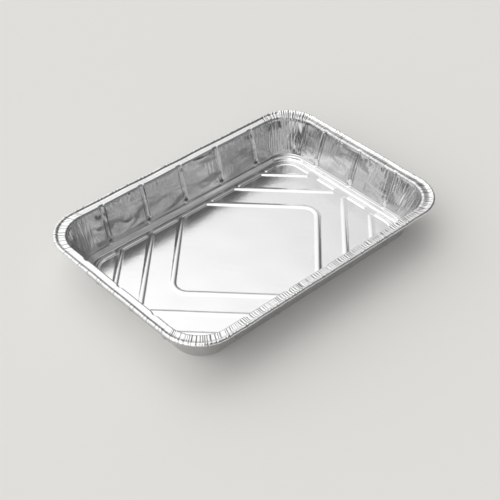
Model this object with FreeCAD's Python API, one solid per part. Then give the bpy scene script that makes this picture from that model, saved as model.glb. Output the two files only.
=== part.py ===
import FreeCAD, Part
import math
import os

# An oblong tray pressed from one sheet of aluminium foil. X runs along the long side, Y along
# the short side and Z up. The origin is the middle of the flat underside. All sizes are in mm.
# An inset is a distance in plan, measured inwards from the outer edge of the rolled rim.

Vector = FreeCAD.Vector

# Overall sizes and the sheet
length = 315.0
width = 215.0
height = 42.0
foil = 0.1

# Corners in plan: the radius at the rim, and what it loses for each millimetre of inset
rim_corner_radius = 38.0
corner_taper = 0.6

# Rolled rim: a curl whose inner slope falls to the flat flange
curl_radius = 1.5
curl_turn = 250.0
curl_slope = 20.0
curl_rise = 0.9
curl_blend = 6.0

# Flange and wall
flange_width = 10.4
flange_blend = 2.0
wall_foot_inset = 21.4
wall_foot_blend = 1.2

# Step at the foot of the wall, and the riser from the step to the floor
step_height = 4.2
step_width = 2.6
step_fall = 0.2
step_blend = 1.0
riser_run = 1.2
floor_blend = 2.5

# Flutes pressed outwards in the walls, closed at the foot and open through the flange's edge
flute_width = 6.2
flute_depth = 1.4
flute_pitch = 46.0
long_wall_flutes = 5
short_wall_flutes = 3
flute_foot_gap = 0.8

# Ribs pressed upwards in the floor, at 45 degrees to the sides
rib_width = 5.6
rib_rise = 0.8
inner_rib_reach = 92.0
middle_rib_reach = 128.5
outer_rib_reach = 164.5
inner_rib_bend = 14.0
rib_side_gap = 3.6
rib_end_gap = 4.6

# Bead pressed upwards round the floor, broken where the ribs run out
bead_inset = 31.5
bead_width = 4.4
bead_rise = 0.8
bead_clearance = 0.4


# Plan outlines

def corner_radius(inset):
    return rim_corner_radius - corner_taper * inset


def rational_arc(start, middle, end, half_angle):
    """Control points and weights of a circular arc, as a quadratic with one middle point."""
    return [(start, 1.0), (middle, math.cos(half_angle)), (end, 1.0)]


def plan_spans(inset):
    """The rounded rectangle at an inset, anticlockwise: each side, then the corner after it.

    A span is a list of control points with weights. Every coordinate is linear in the inset, so
    surfaces made from these points follow a profile exactly on the sides and in the corners.
    """
    half_x = length / 2 - inset
    half_y = width / 2 - inset
    radius = corner_radius(inset)
    quarter = math.radians(45)
    spans = []
    for x_sign, y_sign, turned in ((1, 1, False), (-1, 1, True), (-1, -1, False), (1, -1, True)):
        corner = (x_sign * half_x, y_sign * half_y)
        on_x_side = (corner[0], y_sign * (half_y - radius))
        on_y_side = (x_sign * (half_x - radius), corner[1])
        first, last = (on_y_side, on_x_side) if turned else (on_x_side, on_y_side)
        before = (first[0], -first[1]) if first == on_x_side else (-first[0], first[1])
        spans.append([(before, 1.0), (first, 1.0)])
        spans.append(rational_arc(first, corner, last, quarter))
    return spans


# Section of the sheet

def rounded_path(points, blends):
    """Joins points of (inset, height) by straight runs, with an arc of the given radius at each
    inner point. Each piece is ("line", start, end) or ("arc", centre, radius, from, to), with
    angles in a plane whose first axis points outwards."""
    flat = [(-inset, z) for inset, z in points]
    pieces = []
    start = flat[0]
    for before, corner, after, blend in zip(flat, flat[1:], flat[2:], blends):
        heading_in = math.atan2(corner[1] - before[1], corner[0] - before[0])
        heading_out = math.atan2(after[1] - corner[1], after[0] - corner[0])
        turn = heading_out - heading_in
        side = math.copysign(1.0, turn)
        trim = blend * math.tan(abs(turn) / 2)
        arc_start = (corner[0] - trim * math.cos(heading_in), corner[1] - trim * math.sin(heading_in))
        arc_end = (corner[0] + trim * math.cos(heading_out), corner[1] + trim * math.sin(heading_out))
        centre = (arc_start[0] - side * blend * math.sin(heading_in),
                  arc_start[1] + side * blend * math.cos(heading_in))
        from_angle = heading_in - side * math.pi / 2
        pieces.append(("line", start, arc_start))
        pieces.append(("arc", centre, blend, from_angle, from_angle + turn))
        start = arc_end
    pieces.append(("line", start, flat[-1]))
    return pieces


def sheet_section():
    """The middle of the sheet, from the edge of the flat floor to the end of the curl."""
    middle_radius = curl_radius - foil / 2
    slope = math.radians(curl_slope)
    centre = (-curl_radius, height - curl_radius)
    leave = math.pi / 2 + slope
    tangent = (centre[0] + middle_radius * math.cos(leave), centre[1] + middle_radius * math.sin(leave))
    flange_z = height - foil / 2 - curl_rise
    bend_out = tangent[0] - (tangent[1] - flange_z) / math.tan(slope)
    step_outer = wall_foot_inset
    step_inner = step_outer + step_width
    floor_edge = step_inner + riser_run
    on_floor = floor_edge + floor_blend
    points = [
        (on_floor, foil / 2),
        (floor_edge, foil / 2),
        (step_inner, step_height - step_fall),
        (step_outer, step_height),
        (flange_width, flange_z),
        (-bend_out, flange_z),
        (-tangent[0], tangent[1]),
    ]
    blends = [floor_blend, step_blend, wall_foot_blend, flange_blend, curl_blend]
    pieces = rounded_path(points, blends)[1:]
    sweep = slope + math.radians(curl_turn)
    parts = math.ceil(sweep / (math.pi / 2))
    for k in range(parts):
        from_angle = leave - sweep * k / parts
        pieces.append(("arc", centre, middle_radius, from_angle, from_angle - sweep / parts))
    return pieces


def on_circle(centre, radius, angle):
    return (centre[0] + radius * math.cos(angle), centre[1] + radius * math.sin(angle))


def offset_piece(piece, distance):
    """Control points of one piece of the section, moved to its left by the distance."""
    if piece[0] == "line":
        start, end = piece[1], piece[2]
        heading = math.atan2(end[1] - start[1], end[0] - start[0])
        shift = (-distance * math.sin(heading), distance * math.cos(heading))
        return [((point[0] + shift[0], point[1] + shift[1]), 1.0) for point in (start, end)]
    centre, radius, from_angle, to_angle = piece[1:]
    half = (to_angle - from_angle) / 2
    skin_radius = radius - distance * math.copysign(1.0, half)
    middle = on_circle(centre, skin_radius / math.cos(half), from_angle + half)
    return rational_arc(on_circle(centre, skin_radius, from_angle), middle,
                        on_circle(centre, skin_radius, to_angle), half)


def band(section_points):
    """The faces all round the tray that follow one piece of the section. A straight piece is a
    plane along each side."""
    rings = [plan_spans(-point[0]) for point, _ in section_points]
    faces = []
    for span in range(len(rings[0])):
        poles = []
        weights = []
        for k in range(len(rings[0][span])):
            poles.append([Vector(ring[span][k][0][0], ring[span][k][0][1], point[1])
                          for ring, (point, _) in zip(rings, section_points)])
            weights.append([ring[span][k][1] * weight for ring, (_, weight) in zip(rings, section_points)])
        u_degree = len(poles) - 1
        v_degree = len(section_points) - 1
        if u_degree == v_degree == 1:
            outline = poles[0] + poles[1][::-1] + poles[0][:1]
            faces.append(Part.Face(Part.makePolygon(outline)))
            continue
        surface = Part.BSplineSurface()
        ends = [0.0, 1.0]
        surface.buildFromPolesMultsKnots(poles, [u_degree + 1] * 2, [v_degree + 1] * 2, ends, ends,
                                         False, False, u_degree, v_degree, weights)
        faces.append(surface.toShape())
    return faces


def floor_face(section_point):
    """The flat rounded rectangle inside the first point of the section."""
    half_x = length / 2 + section_point[0]
    half_y = width / 2 + section_point[0]
    radius = corner_radius(-section_point[0])
    z = section_point[1]
    edges = []
    for quarter_turns in range(4):
        along, across = (half_x, half_y) if quarter_turns % 2 == 0 else (half_y, half_x)
        turn = FreeCAD.Rotation(Vector(0, 0, 1), 90 * quarter_turns)
        side_start = turn.multVec(Vector(along, radius - across, z))
        side_end = turn.multVec(Vector(along, across - radius, z))
        slant = radius * (1 - math.cos(math.radians(45)))
        arc_middle = turn.multVec(Vector(along - slant, across - slant, z))
        arc_end = turn.multVec(Vector(along - radius, across, z))
        edges.append(Part.LineSegment(side_start, side_end).toShape())
        edges.append(Part.Arc(side_end, arc_middle, arc_end).toShape())
    return Part.Face(Part.Wire(edges))


def plain_sheet():
    """The pressed sheet before its flutes, ribs and bead: two skins joined at the curl's end."""
    section = sheet_section()
    faces = []
    for distance in (foil / 2, -foil / 2):
        skin = [offset_piece(piece, distance) for piece in section]
        faces.append(floor_face(skin[0][0][0]))
        for points in skin:
            faces.extend(band(points))
    upper_end = offset_piece(section[-1], foil / 2)[-1]
    lower_end = offset_piece(section[-1], -foil / 2)[-1]
    faces.extend(band([upper_end, lower_end]))
    shell = Part.Shell(faces)
    shell.sewShape()
    solid = Part.Solid(shell)
    if solid.Volume < 0:
        solid.reverse()
    return solid


# Pressed ribs, made flat on the XY plane and rising along Z

def segment_face(radius, centre_z, cut_z, half=False):
    """The part of a circle above a level, in the YZ plane, whole or on one side of its middle."""
    reach = math.sqrt(radius ** 2 - (cut_z - centre_z) ** 2)
    top = Vector(0, 0, centre_z + radius)
    lean = math.atan2(cut_z - centre_z, reach)
    middle_angle = (lean + math.pi / 2) / 2
    side = Vector(0, reach, cut_z)
    if half:
        rise = centre_z + radius * math.sin(middle_angle)
        on_arc = Vector(0, radius * math.cos(middle_angle), rise)
        foot = Vector(0, 0, cut_z)
        edges = [Part.LineSegment(foot, side).toShape(), Part.Arc(side, on_arc, top).toShape(),
                 Part.LineSegment(top, foot).toShape()]
    else:
        other = Vector(0, -reach, cut_z)
        edges = [Part.LineSegment(other, side).toShape(), Part.Arc(side, top, other).toShape()]
    return Part.Face(Part.Wire(edges))


def press_radius(rib_size, rise):
    return ((rib_size / 2) ** 2 + rise ** 2) / (2 * rise)


def turned(shape, point, heading):
    moved = shape.copy()
    moved.Placement = FreeCAD.Placement(point, FreeCAD.Rotation(Vector(0, 0, 1), math.degrees(heading)))
    return moved


def along_path(points, bend, radius, centre_z, cut_z, open_end=False):
    """A segment carried along straight runs with arcs between, and rounded off at its ends."""
    up = Vector(0, 0, 1)
    whole = segment_face(radius, centre_z, cut_z)
    rounded = segment_face(radius, centre_z, cut_z, half=True).revolve(Vector(0, 0, 0), up, 180)
    pieces = []
    start = points[0]
    heading = 0.0
    for k in range(1, len(points)):
        run = points[k] - points[k - 1]
        heading = math.atan2(run.y, run.x)
        end = points[k]
        turn = 0.0
        if k < len(points) - 1:
            after = points[k + 1] - points[k]
            turn = math.atan2(run.x * after.y - run.y * after.x, run.x * after.x + run.y * after.y)
            end = points[k] - run.normalize() * (bend * math.tan(abs(turn) / 2))
        if k == 1:
            pieces.append(turned(rounded, start, heading))
        pieces.append(turned(whole.extrude(Vector((end - start).Length, 0, 0)), start, heading))
        if turn:
            side = math.copysign(1.0, turn)
            arc = whole.revolve(Vector(0, side * bend, 0), Vector(0, 0, side), math.degrees(abs(turn)))
            pieces.append(turned(arc, end, heading))
            leave = heading + turn
            centre = end + Vector(-math.sin(heading), math.cos(heading), 0) * (side * bend)
            start = centre + Vector(math.sin(leave), -math.cos(leave), 0) * (side * bend)
    if not open_end:
        pieces.append(turned(rounded, points[-1], heading + math.pi))
    return pieces[0].fuse(pieces[1:]).removeSplitter()


def pressed_rib(points, bend, rib_size, rise, open_end=False):
    """A ridge to add on the upper skin and the hollow to take out under it, a sheet's thickness
    apart. The sheet lies between 0 and the foil's thickness."""
    outer = press_radius(rib_size, rise)
    centre_z = foil + rise - outer
    inner = outer - foil
    ridge = along_path(points, bend, outer, centre_z, foil / 2, open_end)
    hollow = along_path(points, bend, inner, centre_z, -foil, open_end)
    return ridge, hollow


# Ribs and bead in the floor

bead_half_x = length / 2 - bead_inset
bead_half_y = width / 2 - bead_inset


def mirrored(point, x_sign, y_sign):
    return Vector(x_sign * point.x, y_sign * point.y, 0)


def floor_ribs():
    """The diagonal ribs: a bent one at each end of the floor, and two pairs outside it."""
    ribs = []
    side_y = bead_half_y + bead_width / 2 - rib_side_gap
    for x_sign in (1, -1):
        start = Vector(inner_rib_reach - side_y, side_y, 0)
        tip = Vector(inner_rib_reach, 0, 0)
        path = [mirrored(start, x_sign, 1), mirrored(tip, x_sign, 1), mirrored(start, x_sign, -1)]
        ribs.append(pressed_rib(path, inner_rib_bend, rib_width, rib_rise))
        for reach in (middle_rib_reach, outer_rib_reach):
            end_x = bead_half_x - rib_end_gap
            for y_sign in (1, -1):
                path = [Vector(reach - side_y, side_y, 0), Vector(end_x, reach - end_x, 0)]
                ends = [mirrored(point, x_sign, y_sign) for point in path]
                ribs.append(pressed_rib(ends, 0, rib_width, rib_rise))
    return ribs


def floor_bead():
    """The broken bead: straight lengths between the ribs, and a bent one in each corner."""
    half_gap = (rib_width / 2 + bead_width / 2 + bead_clearance) * math.sqrt(2)
    crossings = [reach - bead_half_y for reach in (inner_rib_reach, middle_rib_reach, outer_rib_reach)]
    end_crossing = outer_rib_reach - bead_half_x
    middle_crossing = middle_rib_reach - bead_half_x
    beads = []
    for y_sign in (1, -1):
        y = y_sign * bead_half_y
        middle_half = crossings[0] - half_gap
        beads.append([Vector(-middle_half, y, 0), Vector(middle_half, y, 0)])
        for x_sign in (1, -1):
            for near, far in zip(crossings, crossings[1:]):
                beads.append([Vector(x_sign * (near + half_gap), y, 0),
                              Vector(x_sign * (far - half_gap), y, 0)])
            x = x_sign * bead_half_x
            beads.append([Vector(x, y_sign * (middle_crossing + half_gap), 0),
                          Vector(x, y_sign * (end_crossing - half_gap), 0)])
            beads.append([Vector(x_sign * (crossings[2] + half_gap), y, 0), Vector(x, y, 0),
                          Vector(x, y_sign * (end_crossing + half_gap), 0)])
    return [pressed_rib(path, corner_radius(bead_inset), bead_width, bead_rise) for path in beads]


# Flutes in the walls

def wall_flutes():
    """Flutes that lie in the walls' slope, made flat first and then leaned against each wall."""
    flange_z = height - foil / 2 - curl_rise
    run = wall_foot_inset - flange_width
    rise = flange_z - step_height
    lean = math.atan2(rise, run)
    foot = flute_width / 2 + wall_foot_blend * math.tan(lean / 2) + flute_foot_gap
    past_flange = math.hypot(run, rise) + 2 * flange_blend
    path = [Vector(foot, 0, 0), Vector(past_flange, 0, 0)]
    ridge, hollow = pressed_rib(path, 0, flute_width, flute_depth, open_end=True)
    above = Part.makeBox(length, length, height, Vector(-length / 2, -length / 2, flange_z))
    flutes = []
    for half_span, count, swing in ((length / 2, short_wall_flutes, 0), (width / 2, long_wall_flutes, 90)):
        for turn in (swing, swing + 180):
            for k in range(count):
                along = (k - (count - 1) / 2) * flute_pitch
                lay = FreeCAD.Placement(Vector(0, 0, -foil / 2), FreeCAD.Rotation())
                flip = FreeCAD.Placement(Vector(0, 0, 0), FreeCAD.Rotation(Vector(1, 0, 0), 180))
                raise_up = FreeCAD.Placement(Vector(half_span - wall_foot_inset, along, step_height),
                                             FreeCAD.Rotation(Vector(0, 1, 0), -math.degrees(lean)))
                round_tray = FreeCAD.Placement(Vector(0, 0, 0), FreeCAD.Rotation(Vector(0, 0, 1), turn))
                place = round_tray.multiply(raise_up).multiply(flip).multiply(lay)
                outside = ridge.copy()
                outside.Placement = place
                inside = hollow.copy()
                inside.Placement = place
                flutes.append((outside.cut(above), inside))
    return flutes


def foil_tray():
    pressed = floor_ribs() + floor_bead() + wall_flutes()
    ridges = [ridge for ridge, _ in pressed]
    hollows = [hollow for _, hollow in pressed]
    return plain_sheet().fuse(ridges).cut(hollows)


os.makedirs("parts", exist_ok=True)
tray = foil_tray()
tray.exportStep("parts/foil_tray.step")
box = tray.optimalBoundingBox(False, False)
print("foil_tray", tray.ShapeType, "solids", len(tray.Solids), "valid", tray.isValid(),
      "size", round(box.XLength, 3), round(box.YLength, 3), round(box.ZLength, 3),
      "volume", round(tray.Volume, 1))
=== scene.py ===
import math

import bpy
import numpy as np
from mathutils import Matrix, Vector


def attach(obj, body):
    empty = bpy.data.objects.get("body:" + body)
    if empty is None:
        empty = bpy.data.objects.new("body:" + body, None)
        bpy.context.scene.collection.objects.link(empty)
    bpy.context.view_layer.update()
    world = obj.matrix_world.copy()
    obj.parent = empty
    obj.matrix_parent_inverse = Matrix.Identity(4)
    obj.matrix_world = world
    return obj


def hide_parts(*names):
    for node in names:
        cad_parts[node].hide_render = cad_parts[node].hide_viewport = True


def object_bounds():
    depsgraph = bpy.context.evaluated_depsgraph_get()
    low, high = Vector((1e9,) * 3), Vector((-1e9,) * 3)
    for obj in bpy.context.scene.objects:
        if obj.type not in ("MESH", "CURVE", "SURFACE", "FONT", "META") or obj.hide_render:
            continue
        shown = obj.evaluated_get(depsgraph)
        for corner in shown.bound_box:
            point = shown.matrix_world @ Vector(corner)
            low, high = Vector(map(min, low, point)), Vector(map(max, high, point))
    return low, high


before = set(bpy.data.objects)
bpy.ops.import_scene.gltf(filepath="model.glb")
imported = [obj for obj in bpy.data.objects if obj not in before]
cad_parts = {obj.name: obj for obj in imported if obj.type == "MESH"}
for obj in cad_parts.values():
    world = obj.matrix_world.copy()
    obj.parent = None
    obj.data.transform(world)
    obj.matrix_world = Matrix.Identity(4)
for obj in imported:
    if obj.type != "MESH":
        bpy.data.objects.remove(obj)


def corners():
    """Lowest and highest corner of what is shown, as plain lists."""
    return [list(point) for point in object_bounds()]


size_at_load = corners()

# Sizes of the pressed sheet in millimetres: its box from the frame, the rest as in the part's own
# drawing
LENGTH, WIDTH, HEIGHT = (round(1000.0 * (high - low), 1) for low, high in zip(*size_at_load))
FOIL = 0.1
RIM_RADIUS, CORNER_TAPER = 38.0, 0.6
CURL_RADIUS, CURL_TURN, CURL_SLOPE, CURL_RISE, CURL_BLEND = 1.5, 250.0, 20.0, 0.9, 6.0
FLANGE_WIDTH, FLANGE_BLEND = 10.4, 2.0
FOOT_INSET, FOOT_BLEND = 21.4, 1.2
STEP_HEIGHT, STEP_WIDTH, STEP_FALL, STEP_BLEND = 4.2, 2.6, 0.2, 1.0
RISER_RUN, FLOOR_BLEND = 1.2, 2.5
FLUTE_WIDTH, FLUTE_DEPTH, FLUTE_PITCH, FLUTE_FOOT_GAP = 6.2, 1.4, 46.0, 0.8
RIB_WIDTH, RIB_RISE, RIB_REACHES, RIB_BEND = 5.6, 0.8, (92.0, 128.5, 164.5), 14.0
RIB_SIDE_GAP, RIB_END_GAP = 3.6, 4.6
BEAD_INSET, BEAD_WIDTH, BEAD_RISE, BEAD_CLEARANCE = 31.5, 4.4, 0.8, 0.4

# The surface is made in pieces that meet on the flat of the floor, on the wall and on the flange
FLOOR_SEAM, FLANGE_SEAM = 28.0, 7.0
LONG_COLUMNS, SHORT_COLUMNS, ARC_COLUMNS = 280, 170, 32
STEP_ROWS, WALL_ROWS, UPPER_WALL_ROWS, RIM_ROWS = 26, 26, 26, 25
BLEND_POINTS, CURL_POINTS, BEND_POINTS = 60, 400, 22
NUDGE, PAST_END = 0.04, 0.4

# Irregular forms of handled foil: typical heights, and pitches from fold to fold, in millimetres
PLEAT_HEIGHT, PLEAT_PITCH = 0.20, 2.4
BROAD_PLEAT_HEIGHT, BROAD_PLEAT_PITCH = 0.11, 5.4
CRIMP_PITCH = 2.5
DENT_HEIGHT, DENT_PITCH = 0.12, 3.9
STREAK_HEIGHT, CREASE_HEIGHT, SHORT_CREASE_HEIGHT = 0.17, 0.07, 0.10
SIDE_FINE_HEIGHT, CORNER_FINE_HEIGHT = 0.018, 0.10
SWELL_HEIGHT, RIPPLE_HEIGHT = 0.035, 0.0035
RIM_WAVER, RIM_WOBBLE, RIM_SAG = 0.14, 0.07, 0.10

# How the sheet sets after pressing: the knot at each flute's foot, and the flange's slant
KNOT_HEIGHT, KNOT_RADIUS, KNOT_WIDTH, KNOT_LEVEL = 0.40, 3.2, 0.9, 0.6
DIMPLE_DEPTH, DIMPLE_RADIUS = 0.90, 1.8
CORNER_BOW, FLANGE_LIFT, FLANGE_FALL, GROOVE_DEPTH = 0.10, 0.22, 0.50, 0.28


# Irregular shapes of handled foil

def waves(seed, longest, shortest, x, y, count=28):
    """A smooth random height: a sum of sine waves in random directions, whose lengths lie between
    the two given, scaled to a typical size of one."""
    rng = np.random.default_rng(seed)
    total = 0.0
    for _ in range(count):
        wavelength = longest * (shortest / longest) ** rng.random()
        heading = rng.random() * math.tau
        phase = rng.random() * math.tau
        way = x * math.cos(heading) + y * math.sin(heading)
        total = total + np.sin(math.tau * way / wavelength + phase)
    return total * math.sqrt(2.0 / count)


def around(seed, longest, shortest, a, count=24):
    """The same along the rim's outline, from whole numbers of waves, so that it closes."""
    rng = np.random.default_rng(seed)
    total = 0.0
    for _ in range(count):
        cycles = round(RIM_LENGTH / (longest * (shortest / longest) ** rng.random()))
        total = total + np.sin(math.tau * cycles * a / RIM_LENGTH + rng.random() * math.tau)
    return total * math.sqrt(2.0 / count)


def rise_between(x, low, high):
    """A smooth step from 0 at low to 1 at high."""
    t = np.clip((x - low) / (high - low), 0.0, 1.0)
    return t * t * (3.0 - 2.0 * t)


def pressed(distance, width, rise):
    """Height over the middle line of a round press of that width: a circle's arc that runs out
    softly into the sheet at its edges."""
    radius = ((width / 2) ** 2 + rise ** 2) / (2 * rise)
    arc = np.sqrt(np.maximum(radius ** 2 - distance ** 2, 0.0)) - (radius - rise)
    return (arc + np.sqrt(arc ** 2 + 0.02)) / 2


# Section of the sheet

def section_table():
    """The middle of the sheet from the floor's seam to a little past the curl's end: straight
    runs with arcs between them, then the curl. Rows of distance along it, distance out from the
    rim, height."""
    middle = CURL_RADIUS - FOIL / 2
    slope = math.radians(CURL_SLOPE)
    centre = np.array([-CURL_RADIUS, HEIGHT - CURL_RADIUS])
    leave = math.pi / 2 + slope
    tangent = centre + middle * np.array([math.cos(leave), math.sin(leave)])
    flange_z = HEIGHT - FOIL / 2 - CURL_RISE
    bend = tangent[0] - (tangent[1] - flange_z) / math.tan(slope)
    step_inner = FOOT_INSET + STEP_WIDTH
    points = np.array([
        (-FLOOR_SEAM - 1.0, FOIL / 2),
        (-step_inner - RISER_RUN, FOIL / 2),
        (-step_inner, STEP_HEIGHT - STEP_FALL),
        (-FOOT_INSET, STEP_HEIGHT),
        (-FLANGE_WIDTH, flange_z),
        (bend, flange_z),
        tangent,
    ])
    blends = [FLOOR_BLEND, STEP_BLEND, FOOT_BLEND, FLANGE_BLEND, CURL_BLEND]
    line = [points[:1]]
    for before, corner, after, blend in zip(points, points[1:], points[2:], blends):
        heading_in = math.atan2(*(corner - before)[::-1])
        heading_out = math.atan2(*(after - corner)[::-1])
        turn = heading_out - heading_in
        side = math.copysign(1.0, turn)
        trim = blend * math.tan(abs(turn) / 2)
        start = corner - trim * np.array([math.cos(heading_in), math.sin(heading_in)])
        middle_point = start + side * blend * np.array([-math.sin(heading_in), math.cos(heading_in)])
        angle = heading_in - side * math.pi / 2 + np.linspace(0.0, turn, BLEND_POINTS)
        line.append(middle_point + blend * np.stack([np.cos(angle), np.sin(angle)], 1))
    angle = leave - np.linspace(0.0, slope + math.radians(CURL_TURN) + PAST_END / middle, CURL_POINTS)
    line.append(centre + middle * np.stack([np.cos(angle), np.sin(angle)], 1))
    line = np.concatenate(line)
    distance = np.concatenate([[0.0], np.cumsum(np.hypot(*np.diff(line, axis=0).T))])
    return distance, line[:, 0], line[:, 1]


SECTION = section_table()
BEFORE_CURL = [column[:-CURL_POINTS] for column in SECTION]
FLOOR_START = 1.0
WALL_FOOT = float(np.interp(STEP_HEIGHT + 0.6, BEFORE_CURL[2], BEFORE_CURL[0]))
WALL_TOP = float(np.interp(-FLANGE_WIDTH - 0.4, BEFORE_CURL[1], BEFORE_CURL[0]))
FLANGE_JOIN = float(np.interp(-FLANGE_SEAM, BEFORE_CURL[1], BEFORE_CURL[0]))
CURL_END = SECTION[0][-1] - PAST_END
STEP_SEAM, WALL_SEAM = WALL_FOOT + 2.0, WALL_FOOT + 19.0
WALL_LEAN = math.atan2(HEIGHT - FOIL / 2 - CURL_RISE - STEP_HEIGHT, FOOT_INSET - FLANGE_WIDTH)

# Plan of the rim: four sides, each taken from the middle of one corner to the middle of the next
HALF_ARC = RIM_RADIUS * math.pi / 4
HALF_SIDES = np.array([WIDTH / 2, LENGTH / 2, WIDTH / 2, LENGTH / 2]) - RIM_RADIUS
HALF_OUT = np.array([LENGTH / 2, WIDTH / 2, LENGTH / 2, WIDTH / 2])
OUT_AXES = np.array([(1.0, 0.0), (0.0, 1.0), (-1.0, 0.0), (0.0, -1.0)])
ALONG_AXES = np.array([(0.0, 1.0), (-1.0, 0.0), (0.0, -1.0), (1.0, 0.0)])
SIDE_ENDS = np.cumsum(2 * (HALF_SIDES + HALF_ARC))
SIDE_MIDDLES = SIDE_ENDS - HALF_SIDES - HALF_ARC
RIM_LENGTH = float(SIDE_ENDS[-1])

# By side, +X, +Y, -X and -Y: its flutes, and the height of its crimps, the strength of its creases
# and the height of its bow. By corner, from +X -Y round and back to it: the strength of its pleats
FLUTES_PER_SIDE = (3, 5, 3, 5)
SIDE_CRIMPS = np.array([0.12, 0.03, 0.03, 0.11])
SIDE_CREASES = np.array([0.6, 1.35, 0.7, 1.0])
SIDE_BOWS = np.array([0.04, 0.24, 0.10, 0.12])
CORNER_PLEATS = np.array([0.9, 1.0, 1.25, 0.7, 0.9])


def side_number(a):
    """Which of the four sides a distance round the rim lies on."""
    return np.minimum(np.searchsorted(SIDE_ENDS, np.mod(a, RIM_LENGTH), side="right"), 3)


def rim_line(a):
    """For distances a round the rim: the point of the outer edge, how it moves for each
    millimetre of inset, the outward direction, the side's number and the place along the side."""
    side = side_number(a)
    from_middle = np.mod(a, RIM_LENGTH) - SIDE_MIDDLES[side]
    straight = np.clip(from_middle, -HALF_SIDES[side], HALF_SIDES[side])
    angle = ((from_middle - straight) / RIM_RADIUS)[..., None]
    out, along = OUT_AXES[side], ALONG_AXES[side]
    outward = out * np.cos(angle) + along * np.sin(angle)
    centre = along * straight[..., None] + out * (HALF_OUT[side][..., None] - RIM_RADIUS)
    edge = centre + RIM_RADIUS * outward
    lean = np.sign(straight) * rise_between(HALF_SIDES[side] - np.abs(straight), 19.5, 0.0)
    inward = -CORNER_TAPER * outward - (1 - CORNER_TAPER) * (out + along * lean[..., None])
    return edge, inward, outward, side, straight


def corner_share(a, change):
    """1 in the corners and 0 along the sides, with a soft change that starts that far before the
    corner."""
    side = side_number(a)
    from_middle = np.abs(np.mod(a, RIM_LENGTH) - SIDE_MIDDLES[side])
    return rise_between(from_middle, HALF_SIDES[side] - change, HALF_SIDES[side] + change / 2)


def creased(height, softness):
    """Turns a smooth height into facets that meet in valleys where the height passes zero."""
    return np.sqrt(height ** 2 + softness ** 2)


def folds(seed, pitch, wander, a):
    """Rows of small folds across the rim: a wave with sharp valleys, whose pitch wanders."""
    cycles = round(RIM_LENGTH / pitch)
    phase = math.tau * cycles * a / RIM_LENGTH + wander * around(seed, pitch * 12, pitch * 2.5, a)
    return 2.0 * creased(np.sin(phase / 2), 0.1) - 1.0


def rim_folds(a, s):
    """Pleats gathered in the corners, fine crimps along the front and right sides, and dents
    along the curl."""
    corner = corner_share(a, 14.0)
    low = rise_between(s, WALL_TOP - 9.0, WALL_TOP + 1.0)
    flange = rise_between(s, WALL_TOP - 2.5, WALL_TOP + 1.5)
    curl = rise_between(s, FLANGE_JOIN + 2.5, FLANGE_JOIN + 5.5)
    strength = np.clip(0.8 + 0.45 * around(3, 60.0, 9.0, a), 0.2, 1.6)
    strength = strength * CORNER_PLEATS[np.searchsorted(SIDE_MIDDLES, np.mod(a, RIM_LENGTH))]
    pleats = PLEAT_HEIGHT * folds(5, PLEAT_PITCH, 1.9, a) * strength
    pleats = pleats + BROAD_PLEAT_HEIGHT * folds(6, BROAD_PLEAT_PITCH, 2.0, a)
    uneven = np.clip(0.9 + 0.4 * around(9, 90.0, 14.0, a), 0.35, 1.5)
    crimps = SIDE_CRIMPS[side_number(a)] * folds(8, CRIMP_PITCH, 1.5, a) * uneven
    patches = np.clip(0.7 + 0.6 * around(4, 50.0, 9.0, a), 0.0, 1.6)
    dents = DENT_HEIGHT * folds(10, DENT_PITCH, 2.0, a) * patches
    across = corner * pleats * (0.2 * low + 0.8 * flange) + (1 - corner) * crimps * flange
    return across * (1.0 - 0.6 * curl) + dents * curl


def wall_wrinkles(a, s):
    """Long low ripples and sharp creases that run along the walls, short creases under the rim,
    and fine upright creases that are strongest in the corners."""
    below_rim = 1.0 - rise_between(s, WALL_TOP - 2.0, WALL_TOP + 1.0)
    wall = rise_between(s, WALL_FOOT, WALL_FOOT + 6.0) * below_rim
    corner = corner_share(a, 16.0)
    handled = np.clip(0.9 + 0.45 * around(16, 130.0, 30.0, a), 0.4, 1.7) * (1.0 - 0.7 * corner)
    handled = handled * (corner + (1.0 - corner) * SIDE_CREASES[side_number(a)])
    streaks = STREAK_HEIGHT * waves(11, 40.0, 13.0, a * 0.42, s)
    creases = CREASE_HEIGHT * creased(waves(15, 24.0, 8.0, a * 0.45, s), 0.3)
    under_rim = rise_between(s, WALL_TOP - 9.0, WALL_TOP - 1.0)
    short = SHORT_CREASE_HEIGHT * waves(13, 9.0, 2.6, a, s * 0.2) * under_rim * (1.0 - corner)
    fine = waves(14, 7.0, 2.4, a, s * 0.16) * (SIDE_FINE_HEIGHT + CORNER_FINE_HEIGHT * corner)
    return wall * (handled * (streaks + creases) + short + fine)


def rim_set(a, s):
    """How the pressed sheet settles along its section: the walls a little steeper at their middle
    height, most at the back, and the flange falling a little from its inner edge to a groove
    beside the curl."""
    way = np.clip((s - WALL_FOOT) / (WALL_TOP - WALL_FOOT), 0.0, 1.0)
    bow = CORNER_BOW + (SIDE_BOWS[side_number(a)] - CORNER_BOW) * (1.0 - corner_share(a, 30.0))
    inner_edge = FLANGE_LIFT * rise_between(s, WALL_TOP - 3.0, WALL_TOP + 0.8)
    fall = FLANGE_FALL * rise_between(s, WALL_TOP + 0.4, FLANGE_JOIN + 2.6)
    back = GROOVE_DEPTH * rise_between(s, FLANGE_JOIN + 2.6, FLANGE_JOIN + 4.6)
    return -bow * np.sin(math.tau * way) + inner_edge - fall + back


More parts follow.
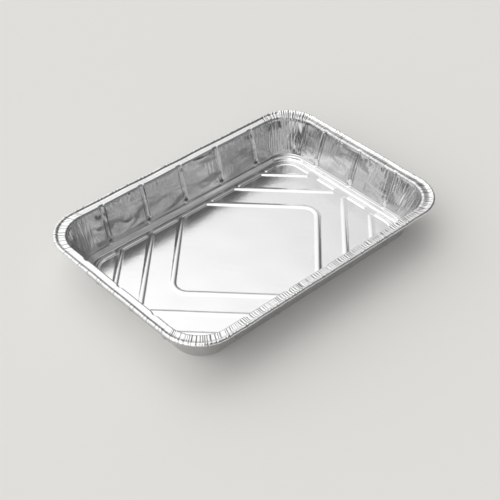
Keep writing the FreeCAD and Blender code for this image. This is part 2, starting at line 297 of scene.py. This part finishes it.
def flute_push(side, along, s):
    """How far the wall is pushed outwards: a round press with a rounded foot, that runs out
    through the flange's inner edge, and at its foot a dimple with a raised ring round it."""
    foot = WALL_FOOT + FLUTE_WIDTH / 2 + FLUTE_FOOT_GAP
    counts = np.array(FLUTES_PER_SIDE)[side]
    nearest = np.clip(np.round(along / FLUTE_PITCH), -(counts - 1) / 2, (counts - 1) / 2) * FLUTE_PITCH
    across = along - nearest
    distance = np.hypot(across, np.minimum(s - foot, 0.0))
    ring = np.hypot(across, s - WALL_FOOT - KNOT_LEVEL)
    knot = KNOT_HEIGHT * np.exp(-((ring - KNOT_RADIUS) / KNOT_WIDTH) ** 2)
    knot = knot - DIMPLE_DEPTH * np.exp(-(ring / DIMPLE_RADIUS) ** 2)
    open_top = 1.0 - rise_between(s, WALL_TOP + 0.8, WALL_TOP + 3.6)
    trough = pressed(distance, FLUTE_WIDTH, FLUTE_DEPTH) * rise_between(s, WALL_FOOT - 1.0, WALL_FOOT)
    return trough * open_top + knot


def drawn_and_shade_share(s):
    """How far the foil was drawn, 1 on the walls and 0 on the flat parts: it darkens the walls' colour as
    painted shade and makes them a little smoother.
    """
    below_rim = 1.0 - rise_between(s, WALL_TOP, WALL_TOP + 2.5)
    return rise_between(s, WALL_FOOT - 4.0, WALL_FOOT + 1.0) * below_rim


def fold_shade_share(a, s):
    """How deep in the rim's folds a place lies: 1 in their valleys, which little light reaches."""
    return np.clip(-9.0 * rim_folds(a, s), 0.0, 1.0) * rise_between(s, WALL_TOP - 1.0, WALL_TOP + 1.0)


def floor_swell(x, y):
    """The floor isn't quite flat: very low and long swells, with far lower ripples on them."""
    return SWELL_HEIGHT * waves(21, 90.0, 28.0, x, y) + RIPPLE_HEIGHT * waves(22, 14.0, 5.0, x, y)


def section_at(s):
    """How far out from the rim and how high the section is, at distances along it."""
    return np.interp(s, SECTION[0], SECTION[1]), np.interp(s, SECTION[0], SECTION[2])


def wall_surface(a, s):
    """The middle of the sheet at distance a round the rim and distance s along the section: the
    section's point carried round the plan, moved along its own normal by wrinkles and folds, and
    out along the wall's normal in the flutes."""
    edge, inward, outward, side, _ = rim_line(a)
    past_rim, height = section_at(s)
    ahead, behind = section_at(s + NUDGE), section_at(s - NUDGE)
    tangent_out, tangent_up = ahead[0] - behind[0], ahead[1] - behind[1]
    run = np.hypot(tangent_out, tangent_up)
    plan = edge - past_rim[..., None] * inward
    along = np.sum(plan * ALONG_AXES[side], -1)
    lift = wall_wrinkles(a, s) + rim_folds(a, s) + rim_set(a, s)
    lift = lift + floor_swell(plan[..., 0], plan[..., 1]) * (1.0 - rise_between(s, 1.2, 5.0))
    waver = RIM_WAVER * around(31, 160.0, 30.0, a) * rise_between(s, WALL_TOP, CURL_END - 5.0)
    outer = rise_between(s, FLANGE_JOIN + 2.0, CURL_END - 5.0)
    waver = waver + RIM_WOBBLE * around(33, 16.0, 5.0, a) * outer
    push = flute_push(side, along, s)
    plan = plan + outward * (waver + push * math.sin(WALL_LEAN) - lift * tangent_up / run)[..., None]
    sag = RIM_SAG * around(32, 200.0, 40.0, a) * rise_between(s, WALL_FOOT, WALL_TOP)
    height = height + lift * tangent_out / run - push * math.cos(WALL_LEAN) + sag
    return np.concatenate([plan, height[..., None]], -1)


# Ribs and bead of the floor

BEAD_HALF = np.array([LENGTH / 2 - BEAD_INSET, WIDTH / 2 - BEAD_INSET])


def rounded_line(points, bend):
    """A path through the points with its inner corners rounded to the bend's radius."""
    points = np.array(points, float)
    line = [points[:1]]
    for before, corner, after in zip(points, points[1:], points[2:]):
        come = (corner - before) / np.hypot(*(corner - before))
        go = (after - corner) / np.hypot(*(after - corner))
        turn = math.atan2(come[0] * go[1] - come[1] * go[0], come @ go)
        side = math.copysign(1.0, turn)
        start = corner - come * bend * math.tan(abs(turn) / 2)
        middle = start + side * bend * np.array([-come[1], come[0]])
        angle = math.atan2(*(start - middle)[::-1]) + np.linspace(0.0, turn, BEND_POINTS)
        line.append(middle + bend * np.stack([np.cos(angle), np.sin(angle)], 1))
    line.append(points[-1:])
    return np.concatenate(line)


def floor_lines():
    """The middle lines of the diagonal ribs and of the broken bead, in one quarter or half and
    mirrored to the others. A length of bead on a long side runs into the rib at its outer end."""
    bead_x, bead_y = BEAD_HALF
    side_y = bead_y + BEAD_WIDTH / 2 - RIB_SIDE_GAP
    end_x = bead_x - RIB_END_GAP
    gap = (RIB_WIDTH / 2 + BEAD_WIDTH / 2 + BEAD_CLEARANCE) * math.sqrt(2)
    inner, middle, outer = RIB_REACHES
    near, mid, far = (reach - bead_y for reach in RIB_REACHES)
    ribs = [rounded_line([(inner - side_y, side_y), (inner, 0), (inner - side_y, -side_y)], RIB_BEND)]
    ribs += [np.array([(reach - side_y, side_y), (end_x, reach - end_x)]) for reach in (middle, outer)]
    ribs += [line * (1, -1) for line in ribs[1:]]
    radius = RIM_RADIUS - CORNER_TAPER * BEAD_INSET
    beads = [np.array([(-near, bead_y), (near, bead_y)])]
    beads += [np.array([(x0 + gap - 1.0, bead_y), (x1, bead_y)]) for x0, x1 in ((near, mid), (mid, far))]
    beads += [np.array([(bead_x, middle - bead_x + gap), (bead_x, outer - bead_x - gap)])]
    beads += [rounded_line([(far + gap, bead_y), (bead_x, bead_y), (bead_x, outer - bead_x + gap)], radius)]
    ribs += [line * (-1, 1) for line in ribs]
    beads += [line * (-1, 1) for line in beads[1:]]
    beads += [line * (1, -1) for line in beads]
    return ribs, beads


RIBS, BEADS = floor_lines()


def line_distance(x, y, line):
    """The least distance from each point to a chain of straight runs."""
    least = np.full(x.shape, 1e9)
    for start, end in zip(line, line[1:]):
        run = end - start
        share = np.clip(((x - start[0]) * run[0] + (y - start[1]) * run[1]) / (run @ run), 0.0, 1.0)
        least = np.minimum(least, np.hypot(x - start[0] - share * run[0], y - start[1] - share * run[1]))
    return least


def floor_surface(x, y):
    """The middle of the sheet over the floor: flat, raised by the higher of the nearest rib and
    bead with a soft change between them, with the floor's low swell."""
    lift = np.zeros(x.shape)
    for lines, width, rise in ((RIBS, RIB_WIDTH, RIB_RISE), (BEADS, BEAD_WIDTH, BEAD_RISE)):
        nearest = np.min([line_distance(x, y, line) for line in lines], axis=0)
        press = pressed(nearest, width, rise)
        lift = (lift + press + np.sqrt((lift - press) ** 2 + 0.001)) / 2
    return np.stack([x, y, FOIL / 2 + lift + floor_swell(x, y)], -1)


# Grids

def spread(low, high, count, marks, pull, reach):
    """Places from low to high, closer together near the marks."""
    fine = np.linspace(low, high, 6000)
    weight = 1.0 + sum(pull * np.exp(-((fine - mark) / reach) ** 2) for mark in marks)
    total = np.concatenate([[0.0], np.cumsum((weight[1:] + weight[:-1]) / 2)])
    return np.interp(np.linspace(0.0, total[-1], count + 1), total, fine)


def rim_columns():
    """Distances round the rim of the wall's columns: even round the corners, and closer together
    at the flutes along the sides."""
    columns = []
    for k in range(4):
        count = (SHORT_COLUMNS, LONG_COLUMNS)[k % 2]
        half = HALF_SIDES[k]
        flutes = [(i - (FLUTES_PER_SIDE[k] - 1) / 2) * FLUTE_PITCH for i in range(FLUTES_PER_SIDE[k])]
        straight = spread(-half, half, count - 2 * ARC_COLUMNS, flutes, 1.2, 5.0)
        arc = np.linspace(0.0, HALF_ARC, ARC_COLUMNS + 1)[1:]
        columns.append(SIDE_MIDDLES[k] + np.concatenate([-half - arc[::-1], straight, half + arc[:-1]]))
    return np.concatenate(columns)


def halved(places):
    """Puts a new place between each two, round the closed rim."""
    following = np.append(places[1:], places[0] + RIM_LENGTH)
    return np.stack([places, (places + following) / 2], 1).ravel()


def ring_outline(inset, along_half, out_half, share):
    """A rounded rectangle's side at an inset, from the middle of one corner to the next: the
    point at a share of the way from the side's middle, along the side and out from the centre."""
    radius = np.maximum(RIM_RADIUS - CORNER_TAPER * inset, 1e-6)
    straight = along_half - inset - radius
    way = np.abs(share) * (straight + radius * math.pi / 4)
    angle = np.clip((way - straight) / radius, 0.0, math.pi / 4)
    along = np.where(way < straight, way, straight + radius * np.sin(angle))
    out = out_half - inset - radius * (1.0 - np.cos(angle))
    return np.sign(share) * along, out


def side_shares(columns):
    """The share of the way from a side's middle to the corner's, of each wall column where it
    meets the floor, on the long and on the short side."""
    radius = RIM_RADIUS - CORNER_TAPER * FLOOR_SEAM
    found = []
    for side, count, middle in ((1, LONG_COLUMNS, SIDE_MIDDLES[1]), (0, SHORT_COLUMNS, SIDE_MIDDLES[0])):
        offsets = columns[np.abs(columns - middle) < HALF_SIDES[side] + HALF_ARC - 1e-6] - middle
        offsets = np.append(offsets, HALF_SIDES[side] + HALF_ARC)[-(count // 2) - 1:]
        edge, inward, _, _, straight = rim_line(middle + offsets - 1e-9)
        point = edge + FLOOR_SEAM * inward
        along = np.sum(point * ALONG_AXES[side], -1)
        angle = np.maximum(offsets - HALF_SIDES[side], 0.0) / RIM_RADIUS
        run = HALF_SIDES[side] - (1 - CORNER_TAPER) * FLOOR_SEAM
        found.append(np.where(offsets <= HALF_SIDES[side], along, run + radius * angle)
                     / (run + radius * math.pi / 4))
    return found


def floor_grid(columns):
    """Points of the floor in a rectangular grid: rings of rounded rectangles, from the wall's
    columns inwards to the middle line, with sharper corners the further in they lie."""
    half_i, half_j = LONG_COLUMNS // 2, SHORT_COLUMNS // 2
    i, j = np.meshgrid(np.arange(-half_i, half_i + 1), np.arange(-half_j, half_j + 1), indexing="ij")
    ring = np.minimum(half_i - np.abs(i), half_j - np.abs(j))
    inset = FLOOR_SEAM + (WIDTH / 2 - FLOOR_SEAM) * ring / half_j
    long_shares, short_shares = side_shares(columns)
    on_long = np.abs(j) == half_j - ring
    share_i = np.abs(i) / (half_i - ring)
    share_j = np.abs(j) / np.maximum(half_j - ring, 1)
    long_share = np.sign(i) * np.interp(share_i * half_i, np.arange(half_i + 1), long_shares)
    short_share = np.sign(j) * np.interp(share_j * half_j, np.arange(half_j + 1), short_shares)
    x_long, y_long = ring_outline(inset, LENGTH / 2, WIDTH / 2, long_share)
    y_short, x_short = ring_outline(inset, WIDTH / 2, LENGTH / 2, short_share)
    x = np.where(on_long, x_long, np.sign(i) * x_short)
    y = np.where(on_long, np.sign(j) * y_long, y_short)
    return x, y


def with_normals(surface, u, v):
    """The middle of the sheet over a grid, and its normals, from small steps along both
    parameters."""
    middle = surface(u, v)
    across = surface(u + NUDGE, v) - surface(u - NUDGE, v)
    onward = surface(u, v + NUDGE) - surface(u, v - NUDGE)
    normal = np.cross(across, onward)
    normal /= np.linalg.norm(normal, axis=-1, keepdims=True)
    return middle, normal


def sheet_piece(name, middle, normal, drawn_and_shade, fold_shade, closed, material):
    """A thin closed shell from a grid of middle points and normals: the upper skin half a
    thickness out, the lower skin as far in and turned over, and a strip along each free edge. A
    closed grid joins the last place of its first parameter to the first."""
    rows, columns = middle.shape[:2]
    number = np.arange(rows * columns).reshape(rows, columns)
    if closed:
        number = np.concatenate([number, number[:1]])
    a, b, c, d = number[:-1, :-1], number[1:, :-1], number[1:, 1:], number[:-1, 1:]
    upper = np.stack([a, b, c, d], -1).reshape(-1, 4)
    below = rows * columns
    lower = upper[:, ::-1] + below
    edges = [(number[1:, 0], number[:-1, 0]), (number[:-1, -1], number[1:, -1])]
    if not closed:
        edges += [(number[0, :-1], number[0, 1:]), (number[-1, 1:], number[-1, :-1])]
    strips = [np.stack([start, end, end + below, start + below], -1) for start, end in edges]
    faces = np.concatenate([upper, lower] + strips).astype(np.int32)
    points = np.concatenate([middle + normal * FOIL / 2, middle - normal * FOIL / 2]).reshape(-1, 3) * 0.001
    mesh = bpy.data.meshes.new(name)
    mesh.vertices.add(len(points))
    mesh.vertices.foreach_set("co", points.astype(np.float32).ravel())
    mesh.loops.add(faces.size)
    mesh.loops.foreach_set("vertex_index", faces.ravel())
    mesh.polygons.add(len(faces))
    mesh.polygons.foreach_set("loop_start", np.arange(0, faces.size, 4, dtype=np.int32))
    mesh.update(calc_edges=True)
    mesh.validate()
    mesh.polygons.foreach_set("use_smooth", np.ones(len(mesh.polygons), bool))
    flat = np.concatenate([normal, -normal]).reshape(-1, 3)
    mesh.normals_split_custom_set_from_vertices(flat.tolist())
    # Shares for the colour: painted shade on the walls, which also makes them smoother, and painted shade
    # in the rim's fold valleys
    for title, values in (("drawn_and_shade", drawn_and_shade), ("fold_shade", fold_shade)):
        share = mesh.attributes.new(title, "FLOAT", "POINT")
        share.data.foreach_set("value", np.tile(values.ravel(), 2).astype(np.float32))
    mesh.materials.append(material)
    piece = bpy.data.objects.new(name, mesh)
    bpy.context.scene.collection.objects.link(piece)
    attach(piece, "root")
    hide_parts("foil_tray")
    return piece


# Shaders

class Value:
    """A number's socket that can be added, taken away and multiplied."""

    def __init__(self, shader, socket):
        self.shader = shader
        self.socket = socket

    def combine(self, operation, first, second):
        return self.shader.node("ShaderNodeMath", {"operation": operation}, {0: first, 1: second})

    def __add__(self, other):
        return self.combine("ADD", self, other)

    def __radd__(self, other):
        return self.combine("ADD", other, self)

    def __sub__(self, other):
        return self.combine("SUBTRACT", self, other)

    def __rsub__(self, other):
        return self.combine("SUBTRACT", other, self)

    def __mul__(self, other):
        return self.combine("MULTIPLY", self, other)

    def __rmul__(self, other):
        return self.combine("MULTIPLY", other, self)


class Shader:
    """A material's or the world's nodes."""

    def __init__(self, owner):
        owner.use_nodes = True
        self.tree = owner.node_tree
        self.tree.nodes.clear()

    def node(self, kind, settings=None, inputs=None, output=0):
        """Adds a node: its settings first, then the values or links of its sockets."""
        made = self.tree.nodes.new(kind)
        for key, value in (settings or {}).items():
            setattr(made, key, value)
        for key, value in (inputs or {}).items():
            if isinstance(value, Value):
                self.tree.links.new(value.socket, made.inputs[key])
            else:
                made.inputs[key].default_value = value
        return Value(self, made.outputs[output]) if made.outputs else made


def foil_material():
    """Bright rolled foil: a satin metal, with faint rolling lines along the sheet and a fine
    grain, both as small bumps. Its colour is darkened on the walls and in the rim's fold
    valleys as painted shade."""
    material = bpy.data.materials.new("foil")
    shader = Shader(material)
    place = shader.node("ShaderNodeTexCoord", output=3)
    stretched = shader.node("ShaderNodeMapping", {}, {"Vector": place, "Scale": (60.0, 2400.0, 600.0)})
    lines = shader.node("ShaderNodeTexNoise", {}, {"Vector": stretched, "Scale": 1.0, "Detail": 2.0})
    grain = shader.node("ShaderNodeTexNoise", {}, {"Vector": place, "Scale": 420.0, "Detail": 3.0})
    cloud = shader.node("ShaderNodeTexNoise", {}, {"Vector": place, "Scale": 45.0, "Detail": 2.0})
    height = lines * 0.4 + grain
    bump = shader.node("ShaderNodeBump", {}, {"Strength": 0.12, "Distance": 0.0002, "Height": height})
    # Painted shade: the walls' colour is darker than the floor's and the flange's
    drawn_and_shade = shader.node("ShaderNodeAttribute", {"attribute_name": "drawn_and_shade"}, output=2)
    colour = shader.node("ShaderNodeMix", {"data_type": "RGBA"}, {
        0: drawn_and_shade, 6: (0.90, 0.905, 0.91, 1.0), 7: (0.59, 0.59, 0.595, 1.0)}, output=2)
    # Painted shade: the colour goes nearly black in the valleys of the rim's folds
    fold_shade = shader.node("ShaderNodeAttribute", {"attribute_name": "fold_shade"}, output=2)
    colour = shader.node("ShaderNodeMix", {"data_type": "RGBA"}, {
        0: fold_shade * 0.65, 6: colour, 7: (0.08, 0.08, 0.085, 1.0)}, output=2)
    surface = shader.node("ShaderNodeBsdfPrincipled", {}, {
        "Base Color": colour,
        "Metallic": 1.0,
        "Roughness": 0.15 + cloud * 0.06 - drawn_and_shade * 0.03,
        "Normal": bump,
    })
    shader.node("ShaderNodeOutputMaterial", {}, {"Surface": surface})
    return material


def floor_material():
    """A plain pale surface."""
    material = bpy.data.materials.new("pale_floor")
    shader = Shader(material)
    surface = shader.node("ShaderNodeBsdfPrincipled", {}, {
        "Base Color": (0.90, 0.89, 0.87, 1.0),
        "Roughness": 0.7,
        "Specular IOR Level": 0.2,
    })
    shader.node("ShaderNodeOutputMaterial", {}, {"Surface": surface})
    return material


def studio_light():
    """Light from the world alone: a wide bright side behind the tray and to its left, brighter in
    parts, and a dark side in front and to its right, with small lights high and low towards the
    camera and a faint one over the dark side. Each is a smooth step of the angle to its middle."""
    world = bpy.data.worlds.new("studio")
    bpy.context.scene.world = world
    shader = Shader(world)
    way = shader.node("ShaderNodeTexCoord")

    def towards(azimuth, elevation):
        a, e = math.radians(azimuth), math.radians(elevation)
        axis = (math.cos(a) * math.cos(e), math.sin(a) * math.cos(e), math.sin(e))
        return shader.node("ShaderNodeVectorMath", {"operation": "DOT_PRODUCT"}, {0: way, 1: axis}, "Value")

    def step(value, low, high, least, most):
        return shader.node("ShaderNodeMapRange", {"interpolation_type": "SMOOTHSTEP"}, {
            "Value": value, "From Min": low, "From Max": high, "To Min": least, "To Max": most})

    side = step(towards(120.0, 25.0), 0.08, 0.45, 0.12, 0.86)
    box = step(towards(110.0, 50.0), 0.62, 0.95, 0.0, 0.35)
    left = step(towards(-165.0, 30.0), 0.82, 0.97, 0.0, 0.86)
    top = step(towards(55.0, 62.0), 0.90, 0.975, 0.0, 0.17)
    near = step(towards(-135.0, 50.0), 0.76, 0.97, 0.0, 0.35)
    low = step(towards(-135.0, 14.0), 0.88, 0.98, 0.0, 0.55)
    facing = step(towards(-45.0, 34.0), 0.93, 0.99, 0.0, 0.30)
    strength = side + box + left + top + near + low + facing
    colour = (1.0, 0.995, 0.985, 1.0)
    light = shader.node("ShaderNodeBackground", {}, {"Color": colour, "Strength": strength})
    shader.node("ShaderNodeOutputWorld", {}, {"Surface": light})


def pale_floor():
    """A large flat square just under the tray."""
    reach, level = 14.0, -0.00012
    mesh = bpy.data.meshes.new("pale_floor")
    square = [(x * reach, y * reach, level) for x, y in ((-1, -1), (1, -1), (1, 1), (-1, 1))]
    mesh.from_pydata(square, [], [(0, 1, 2, 3)])
    mesh.materials.append(floor_material())
    floor = bpy.data.objects.new("pale_floor", mesh)
    bpy.context.scene.collection.objects.link(floor)


# Place, lens and two axes of the photograph's camera, in the tray's frame
EYE_PLACE, EYE_LENS, EYE_SENSOR = (-0.5617, -0.5884, 0.6801), 82.345, 36.0
EYE_RIGHT, EYE_AHEAD = (0.7312, -0.6819, 0.0169), (0.5304, 0.5528, -0.6427)


def camera():
    """The camera at the photograph's place and angle."""
    data = bpy.data.cameras.new("camera")
    data.sensor_width = EYE_SENSOR
    data.lens = EYE_LENS
    data.clip_start, data.clip_end = 0.01, 100.0
    eye = bpy.data.objects.new("camera", data)
    bpy.context.scene.collection.objects.link(eye)
    back = -np.array(EYE_AHEAD) / np.linalg.norm(EYE_AHEAD)
    right = np.array(EYE_RIGHT)
    right -= (right @ back) * back
    right /= np.linalg.norm(right)
    up = np.cross(back, right)
    matrix = np.eye(4)
    matrix[:3, 0], matrix[:3, 1], matrix[:3, 2] = right, up, back
    matrix[:3, 3] = EYE_PLACE
    eye.matrix_world = Matrix(matrix.tolist())
    bpy.context.scene.camera = eye


def ring_piece(name, columns, rows, joined, material):
    """A ring of the walls or rim between two seams. Where it has twice the columns of its
    neighbour, each point between two of the neighbour's lies halfway between them, so that the
    seam is closed."""
    a, s = np.meshgrid(columns, rows, indexing="ij")
    middle, normal = with_normals(wall_surface, a, s)
    if joined:
        middle[1::2, 0] = (middle[0::2, 0] + np.roll(middle[0::2, 0], -1, 0)) / 2
    sheet_piece(name, middle, normal, drawn_and_shade_share(s), fold_shade_share(a, s), True, material)


def foil_tray():
    """The tray's pieces: the floor, the step, the walls with their flutes in two rings, and the
    rim."""
    material = foil_material()
    columns = rim_columns()
    fine = halved(columns)
    bends = (FLOOR_START + 2.0, FLOOR_START + 6.0, WALL_FOOT - 0.5)
    rows = spread(FLOOR_START, STEP_SEAM, STEP_ROWS, bends, 2.0, 1.6)
    ring_piece("foil_step", columns, rows, False, material)
    rows = np.linspace(STEP_SEAM, WALL_SEAM, WALL_ROWS + 1)
    ring_piece("foil_walls", fine, rows, True, material)
    rows = spread(WALL_SEAM, FLANGE_JOIN, UPPER_WALL_ROWS, (WALL_TOP + 0.5,), 1.5, 2.0)
    ring_piece("foil_upper_walls", fine, rows, False, material)
    rows = spread(FLANGE_JOIN, CURL_END, RIM_ROWS, (CURL_END - 3.0,), 0.8, 4.0)
    ring_piece("foil_rim", fine, rows, False, material)
    x, y = floor_grid(columns)
    middle, normal = with_normals(floor_surface, x, y)
    plain = np.zeros(x.shape)
    sheet_piece("foil_floor", middle, normal, plain, plain, False, material)


foil_tray()
pale_floor()
studio_light()
camera()
bpy.context.scene.view_settings.view_transform = "Standard"
